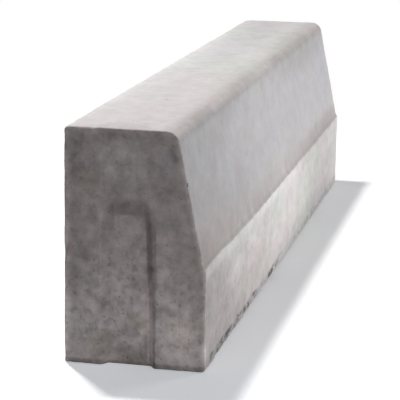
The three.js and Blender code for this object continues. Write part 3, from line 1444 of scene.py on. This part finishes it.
@dataclass(frozen=True)
class KerbStone:
    """The kerb as one cast piece.

    Attributes:
        section: Its section.
        recess: The recess in each end.
        surface: What casting and handling did to its surface.
        finish: The concrete.
        length: Its length.
        end_arris: The rounding round both ends.
        end_rings: How many steps that rounding has.
        spacing: How finely the section is divided.
        station_gap: The spacing of the sections along the kerb.
        face_gap: The spacing of the points on the end faces.
    """

    section: KerbSection
    recess: KeyRecess
    surface: CastSurface
    finish: ConcreteFinish
    length: float
    end_arris: float = 0.002
    end_rings: int = 4
    spacing: OutlineSpacing = OutlineSpacing()
    station_gap: float = 0.003
    face_gap: float = 0.003

    def stations(self) -> list[tuple[float, float]]:
        """The sections along the kerb.

        Returns:
            Each section's y and how far it is set in by the rounding of the ends.
        """
        half = self.length / 2
        turns = [math.pi / 2 * i / self.end_rings for i in range(self.end_rings)]
        rounding = [[self.end_arris * (1 - wave(turn)) for wave in (math.cos, math.sin)] for turn in turns]
        straight = self.length - 2 * self.end_arris
        count = round(straight / self.station_gap)
        middle = [(-half + self.end_arris + straight * i / count, 0.0) for i in range(count + 1)]
        near = [(-half + into, inset) for into, inset in rounding]
        far = [(-y, inset) for y, inset in reversed(near)]
        return near + middle + far

    def body(self, outline: Outline) -> Piece:
        """Makes the closed body without its recesses.

        Args:
            outline: The section's outline.

        Returns:
            The body.
        """
        stations = self.stations()
        count = len(outline.points)
        places = []
        for y, inset in stations:
            ring = outline.points - outline.normals * inset
            places += [(x, y, z) for x, z in ring]
        faces = skin(len(stations), count)
        for row, turn in ((0, 1), (len(stations) - 1, -1)):
            y, inset = stations[row]
            ring = outline.points - outline.normals * inset
            faces += [face[::turn] for face in cap(places, ring, y, row * count, self.face_gap)]
        return new_piece("kerb_casting", places, [], faces)

    def arris_lines(self, outline: Outline) -> Piece:
        """Makes the lines of the arrises that wear: along the kerb, round its ends and the recesses.

        Args:
            outline: The section's outline.

        Returns:
            An object that has only edges.
        """
        half = self.length / 2
        mouth = self.recess.mouth()
        mouth = mouth[mouth[:, 1] > 0]
        slack = self.end_arris * (1 - math.sqrt(0.5))
        places, edges = [], []
        for x, z in outline.arrises:
            edges.append((len(places), len(places) + 1))
            places += [(x, -half, z), (x, half, z)]
        ring = outline.points - outline.normals * slack
        for end in End:
            loops = [(ring, half - slack, 0), (mouth, half, 1)]
            for points, reach, open_by in loops:
                first = len(places)
                places += [(x, end.value * reach, z) for x, z in points]
                joined = range(len(points) - open_by)
                edges += [(first + i, first + (i + 1) % len(points)) for i in joined]
        return new_piece("arris_lines", places, edges, [])

    def build(self) -> Piece:
        """Makes the kerb with its surface and its concrete.

        Returns:
            The finished piece.
        """
        outline = self.spacing.rounded(self.section.corners())
        body = self.body(outline)
        cutters = [self.recess.cutter(end, self.length / 2) for end in End]
        lines = self.arris_lines(outline)
        self.surface.weather(body, cutters, lines, self.finish.material(self))
        for helper in [*cutters, lines]:
            bpy.data.objects.remove(helper)
        self.shade(body)
        return body

    @staticmethod
    def shade(piece: Piece) -> None:
        """Triangulates a piece, and shades it smooth except across its sharp edges.

        Args:
            piece: The piece.
        """
        tiny = 0.000006
        passes = 2
        sharp = math.radians(38)
        shape = bmesh.new()
        shape.from_mesh(piece.data)
        for _ in range(passes):
            bmesh.ops.dissolve_degenerate(shape, edges=shape.edges, dist=tiny)
            bmesh.ops.triangulate(shape, faces=shape.faces)
        shape.to_mesh(piece.data)
        shape.free()
        piece.data.shade_smooth()
        piece.data.set_sharp_from_angle(angle=sharp)


# The studio


class LampKind(Enum):
    """The kinds of lamp: one whose light is the same everywhere, and a square one near the kerb."""

    DISTANT = "SUN"
    SOFTBOX = "AREA"


@dataclass(frozen=True)
class Lamp:
    """A lamp that shines on the kerb.

    Attributes:
        name: Its name.
        kind: Its kind.
        place: Its middle. Only the direction to it counts where the lamp is distant.
        aim: What it points at.
        level: The light that it throws there on a surface that faces it, where 1 shows white as white.
        size: The length of a softbox's sides, or a distant lamp's angular size in degrees.
    """

    name: str
    kind: LampKind
    place: Spot
    aim: Spot
    level: float
    size: float

    def build(self) -> None:
        """Adds the lamp to the scene."""
        away = Vector(self.place) - Vector(self.aim)
        data = bpy.data.lights.new(self.name, self.kind.value)
        lamp = bpy.data.objects.new(self.name, data)
        lamp.location = self.place
        lamp.rotation_euler = away.to_track_quat("Z", "Y").to_euler()
        if self.kind is LampKind.DISTANT:
            data.energy = self.level * math.pi
            data.angle = math.radians(self.size)
        else:
            data.energy = self.level * (math.pi * away.length) ** 2
            data.size = self.size
            lamp.visible_camera = False
        bpy.context.collection.objects.link(lamp)


@dataclass(frozen=True)
class Studio:
    """A white floor and soft light all round.

    Attributes:
        lamps: The lamps.
        sky: The level of the light from all round.
        floor_size: The length of the floor's sides.
        floor_bounce: How much light the floor throws back on the kerb.
        floor_glow: The part of the floor's white that no shadow takes away.
        glow_beside: The same, on the floor along the kerb's front, set lower as painted shade that deepens
            the kerb's shadow there.
        floor_tint: The colour of that part.
        floor_white: How much of the lamps' light the floor shows.
        floor_fade: How far from the kerb the floor starts and ends to turn into plain white.
        beside_x: The strip of floor along the kerb's front that gets that painted shade, across the kerb.
        beside_y: The same strip along the kerb.
    """

    lamps: tuple[Lamp, ...] = (
        Lamp("rear_left", LampKind.SOFTBOX, (-0.69, 0.37, 2.42), (0.0, -1.20, 0.25), 0.67, 0.16),
        Lamp("front_right", LampKind.DISTANT, (1.0, -0.9, 0.35), (0.0, 0.0, 0.0), 0.20, 30.0),
        Lamp("far_right", LampKind.SOFTBOX, (2.1, 1.7, 0.40), (0.0, 0.0, 0.12), 0.58, 0.9),
    )
    sky: float = 0.12
    floor_size: float = 60.0
    floor_bounce: float = 0.30
    floor_glow: float = 0.395
    glow_beside: float = 0.178
    floor_tint: Colour = (0.91, 0.94, 1.0, 1.0)
    floor_white: float = 0.92
    floor_fade: Fade = (0.75, 1.10)
    beside_x: Band = (-0.06, 0.04, 0.22, 0.36)
    beside_y: Band = (-0.68, -0.04, 0.52, 0.64)

    def build(self) -> None:
        """Adds the floor, the lamps and the surroundings."""
        floor = self.floor()
        for lamp in self.lamps:
            lamp.build()
        self.surroundings()
        log.info("studio: %d lamps and a %.0f m floor", len(self.lamps), self.floor_size)

    def floor(self) -> Piece:
        """Makes the floor with a white that keeps the kerb's shadow, and painted shade that deepens that
        shadow along the kerb's front.

        Returns:
            The floor.
        """
        half = self.floor_size / 2
        corners = [(-half, -half, 0.0), (half, -half, 0.0), (half, half, 0.0), (-half, half, 0.0)]
        floor = new_piece("floor", corners, [], [(0, 1, 2, 3)])
        material = bpy.data.materials.new("studio_floor")
        graph = Graph.emptied(material)
        place = graph.node("ShaderNodeTexCoord").outputs["Object"]
        x, y, _ = graph.axes(place)
        # Painted shade: less glow in the strip along the kerb's front, where its shadow falls.
        beside = x.band(*self.beside_x) * y.band(*self.beside_y)
        level = beside * (self.glow_beside - self.floor_glow) + self.floor_glow
        glow = graph.result("ShaderNodeEmission", {"Color": self.floor_tint, "Strength": level})
        both = {"Shader": self.chalk(graph, self.floor_white), "Shader_001": glow}
        near = graph.result("ShaderNodeAddShader", both)
        plain = graph.result("ShaderNodeEmission", {"Strength": 1.0})
        shown = self.either(graph, graph.length(place).rise(*self.floor_fade), near, plain)
        shader = self.either(graph, self.is_looked_at(graph), self.chalk(graph, self.floor_bounce), shown)
        graph.node("ShaderNodeOutputMaterial", {"Surface": shader})
        floor.data.materials.append(material)
        return floor

    @staticmethod
    def chalk(graph: Graph, level: float) -> Socket:
        """A matt grey of a level from 0, black, to 1, white."""
        return graph.result("ShaderNodeBsdfDiffuse", {"Color": (level, level, level, 1.0)})

    @staticmethod
    def either(graph: Graph, share: Signal, first: Socket, second: Socket) -> Socket:
        """One shader where a share is 0, and another where it is 1."""
        inputs = {"Fac": share, "Shader": first, "Shader_001": second}
        return graph.result("ShaderNodeMixShader", inputs)

    @staticmethod
    def is_looked_at(graph: Graph) -> Signal:
        """Tells what is seen from light that bounces.

        Args:
            graph: The graph that asks.

        Returns:
            1 for what is seen directly, in a reflection or through glass.
        """
        path = graph.node("ShaderNodeLightPath")
        camera, mirrored, through = (
            graph.signal(path, f"Is {kind} Ray") for kind in ("Camera", "Glossy", "Transmission")
        )
        return camera.most(mirrored).most(through)

    def surroundings(self) -> None:
        """Sets the world: white where it is looked at, and a soft grey light elsewhere."""
        world = bpy.data.worlds.new("studio")
        bpy.context.scene.world = world
        graph = Graph.emptied(world)
        strength = self.is_looked_at(graph) * (1.0 - self.sky) + self.sky
        light = graph.result("ShaderNodeBackground", {"Color": (1.0, 1.0, 1.0, 1.0), "Strength": strength})
        graph.node("ShaderNodeOutputWorld", {"Surface": light})


@dataclass(frozen=True)
class Viewpoint:
    """Where the camera stands.

    Attributes:
        place: Its place.
        azimuth: How far it is turned round from looking along +Y, in degrees.
        elevation: How far it looks down, in degrees.
        roll: How far it is tilted sideways, in degrees.
        lens: Its focal length in millimetres.
        sensor: The width of its sensor in millimetres.
        reach: How far it sees, in metres.
    """

    place: Spot = (0.4170, -2.1706, 0.5550)
    azimuth: float = 11.832
    elevation: float = 12.341
    roll: float = 0.879
    lens: float = 156.8
    sensor: float = 36.0
    reach: float = 100.0

    def build(self) -> None:
        """Adds the camera and looks through it."""
        upright = 90.0
        stand = Matrix.Translation(self.place)
        for angle, axis in ((self.azimuth, "Z"), (upright - self.elevation, "X"), (self.roll, "Z")):
            stand = stand @ Matrix.Rotation(math.radians(angle), 4, axis)
        data = bpy.data.cameras.new("camera")
        data.lens = self.lens
        data.sensor_width = self.sensor
        data.clip_end = self.reach
        camera = bpy.data.objects.new("camera", data)
        camera.matrix_world = stand
        bpy.context.collection.objects.link(camera)
        bpy.context.scene.camera = camera
        log.info("camera: %.1f mm lens", self.lens)


def main() -> None:
    """Builds the camera, the studio and the kerb."""
    logging.basicConfig(level=logging.INFO, format="%(name)s: %(message)s")
    bpy.context.scene.view_settings.view_transform = "Standard"
    Viewpoint().build()
    Studio().build()
    low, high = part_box(KERB_NODE)
    section = KerbSection(width=high[0] - low[0], height=high[2] - low[2])
    kerb = KerbStone(section, KeyRecess(), CastSurface(), ConcreteFinish(), length=high[1] - low[1])
    casting = kerb.build()
    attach(casting, "root")
    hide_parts(KERB_NODE)
    log.info("%s: %d triangles", casting.name, len(casting.data.polygons))


if __name__ == "__main__":
    main()
